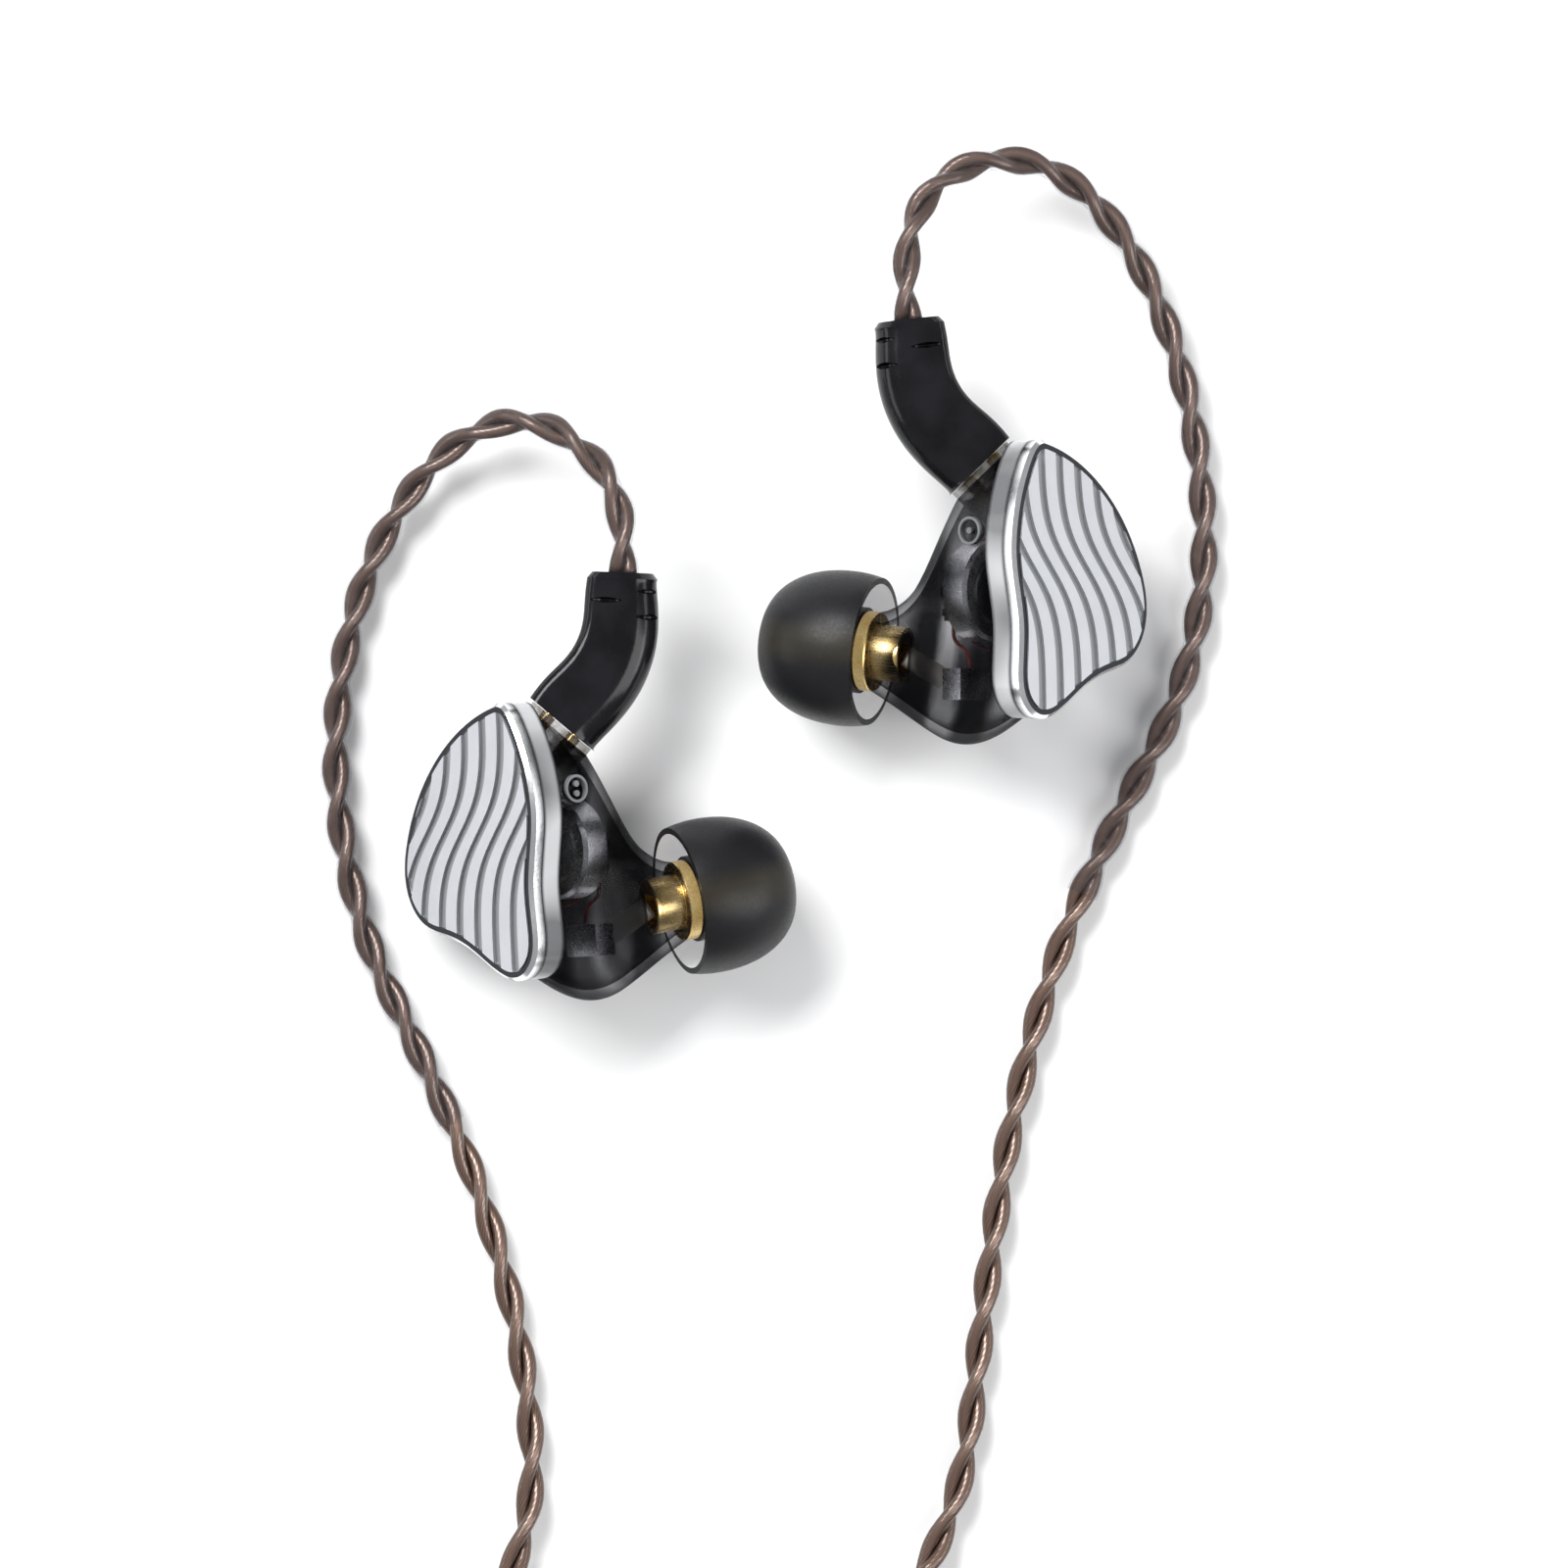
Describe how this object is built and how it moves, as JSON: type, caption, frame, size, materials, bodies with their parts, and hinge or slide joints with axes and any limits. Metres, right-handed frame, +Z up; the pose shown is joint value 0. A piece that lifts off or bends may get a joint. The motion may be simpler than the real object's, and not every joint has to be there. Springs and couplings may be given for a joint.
{
  "type": "in ear monitors",
  "caption": "Wired in ear monitors: smoky resin shells with wave-ribbed metal face plates, brass nozzles, silicone tips, two-pin detachable twisted cable and stereo jack plug.",
  "frame": {"origin": "on the table, below the centre of the box round the two earpieces and their connector hoods", "axes": "+Z up from the table the set lies on; +X from the right earpiece towards the left one; +Y towards the ear hooks' tops"},
  "size_m": [0.097, 0.1879, 0.0182],
  "materials": {
    "smoked_resin": "smoky translucent gloss",
    "clear_resin": "clear gloss",
    "bezel_metal": "polished",
    "faceplate_metal": "satin",
    "nozzle_brass": "polished",
    "mesh_metal": "satin",
    "mark_plastic": "gloss",
    "driver_plastic": "satin",
    "magnet_metal": "satin",
    "diaphragm_film": "satin",
    "armature_metal": "satin",
    "tube_rubber": "satin",
    "board_plastic": "gloss",
    "lead_plastic": "gloss",
    "gold_plating": "polished",
    "tip_silicone": "satin",
    "hood_plastic": "gloss",
    "insert_plastic": "satin",
    "sleeve_film": "clear gloss",
    "cord_jacket": "gloss",
    "trim_metal": "satin",
    "relief_rubber": "matte"
  },
  "bodies": {
    "cable_set": {"left_plug_hood": "hood_plastic", "left_plug_insert": "insert_plastic", "left_plug_pins": "gold_plating", "left_hook_sleeve": "sleeve_film", "left_ear_cord": "cord_jacket", "left_cord_tail": "cord_jacket", "right_plug_hood": "hood_plastic", "right_plug_insert": "insert_plastic", "right_plug_pins": "gold_plating", "right_hook_sleeve": "sleeve_film", "right_ear_cord": "cord_jacket", "right_cord_tail": "cord_jacket", "main_cord": "cord_jacket", "main_cord_tail": "cord_jacket", "ear_cord_coil": "cord_jacket", "main_cord_coil": "cord_jacket", "splitter_body": "trim_metal", "splitter_cap": "insert_plastic", "plug_strain_relief": "relief_rubber", "plug_barrel": "trim_metal", "plug_sleeve": "gold_plating", "plug_ring": "gold_plating", "plug_tip": "gold_plating", "plug_insulators": "insert_plastic"},
    "left_monitor": {"left_shell": "smoked_resin", "left_faceplate_base": "clear_resin", "left_bezel": "bezel_metal", "left_faceplate": "faceplate_metal", "left_nozzle": "nozzle_brass", "left_nozzle_mesh": "mesh_metal", "left_side_mark": "mark_plastic", "left_driver_frame": "driver_plastic", "left_driver_magnet": "magnet_metal", "left_driver_diaphragm": "diaphragm_film", "left_armature_driver": "armature_metal", "left_sound_tube": "tube_rubber", "left_crossover_board": "board_plastic", "left_wires": "lead_plastic", "left_socket_block": "clear_resin", "left_socket_contacts": "gold_plating"},
    "right_monitor": {"right_shell": "smoked_resin", "right_faceplate_base": "clear_resin", "right_bezel": "bezel_metal", "right_faceplate": "faceplate_metal", "right_nozzle": "nozzle_brass", "right_nozzle_mesh": "mesh_metal", "right_side_mark": "mark_plastic", "right_driver_frame": "driver_plastic", "right_driver_magnet": "magnet_metal", "right_driver_diaphragm": "diaphragm_film", "right_armature_driver": "armature_metal", "right_sound_tube": "tube_rubber", "right_crossover_board": "board_plastic", "right_wires": "lead_plastic", "right_socket_block": "clear_resin", "right_socket_contacts": "gold_plating"},
    "left_tip": {"left_ear_tip": "tip_silicone"},
    "right_tip": {"right_ear_tip": "tip_silicone"},
    "chin_slider_bar": {"chin_slider": "insert_plastic"}
  },
  "joints": [
    {"name": "left_monitor_unplug", "type": "slide", "parent": "cable_set", "child": "left_monitor", "axis": [0.695, -0.719, 0], "range_m": [0, 0.006]},
    {"name": "right_monitor_unplug", "type": "slide", "parent": "cable_set", "child": "right_monitor", "axis": [-0.6431, -0.7657, 0], "range_m": [0, 0.006]},
    {"name": "left_tip_pull", "type": "slide", "parent": "left_monitor", "child": "left_tip", "axis": [-0.9382, 0.1151, -0.3263], "range_m": [0, 0.005]},
    {"name": "right_tip_pull", "type": "slide", "parent": "right_monitor", "child": "right_tip", "axis": [0.9279, 0.1803, -0.3263], "range_m": [0, 0.005]},
    {"name": "chin_slider_slide", "type": "slide", "parent": "cable_set", "child": "chin_slider_bar", "axis": [-0.9993, 0, -0.0379], "range_m": [0, 0.01]}
  ]
}
